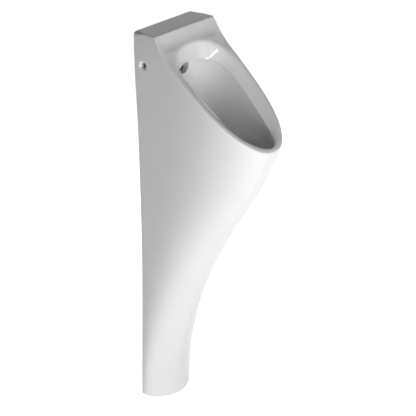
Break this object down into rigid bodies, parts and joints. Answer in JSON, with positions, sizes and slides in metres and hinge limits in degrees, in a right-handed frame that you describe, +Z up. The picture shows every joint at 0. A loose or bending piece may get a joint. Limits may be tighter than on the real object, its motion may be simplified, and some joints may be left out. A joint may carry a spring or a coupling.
{
  "type": "wall hung urinal",
  "caption": "Slender full height wall hung urinal in glazed china, with a slanting rim, a flat top shelf and a column that hides its trap.",
  "frame": {"origin": "on the wall plane and the centre line, level with the foot of the column at the wall", "axes": "+Z up, +Y into the wall, -Y towards the user, +X to the right as the user faces the wall"},
  "size_m": [0.2222, 0.4148, 0.968],
  "materials": {
    "china": "white glazed vitreous china",
    "zinc_steel": "zinc plated steel",
    "black_steel": "black oxide steel, oiled",
    "chrome": "polished chrome",
    "white_plastic": "moulded polypropylene, satin",
    "grey_plastic": "moulded grey plastic, satin",
    "rubber": "black moulded rubber"
  },
  "bodies": {
    "root": {"ceramic_body": "china", "hanger_bracket_left": "zinc_steel", "hanger_bracket_right": "zinc_steel", "bracket_cage_nuts": "zinc_steel", "clamp_screws": "black_steel", "clamp_sleeves": "grey_plastic", "inlet_pipe": "chrome", "inlet_seal": "rubber", "inlet_wall_sleeve": "rubber", "outlet_flange": "chrome", "outlet_top_gasket": "rubber", "outlet_bottom_gasket": "rubber", "outlet_backnut": "white_plastic", "trap_union_nut": "white_plastic", "trap_union_washer": "rubber", "trap_body": "white_plastic", "trap_cup": "white_plastic", "trap_cup_seal": "rubber", "trap_outlet_nut": "white_plastic", "trap_outlet_washer": "rubber", "waste_pipe": "white_plastic", "waste_wall_sleeve": "rubber"},
    "trap_insert": {"trap_insert": "grey_plastic", "insert_o_rings": "rubber"},
    "strainer": {"strainer": "chrome"}
  },
  "joints": [
    {"name": "insert_lift", "type": "slide", "parent": "root", "child": "trap_insert", "axis": [0, 0, 1], "range_m": [0, 0.2]},
    {"name": "strainer_lift", "type": "slide", "parent": "trap_insert", "child": "strainer", "axis": [0, 0, 1], "range_m": [0, 0.06]}
  ]
}
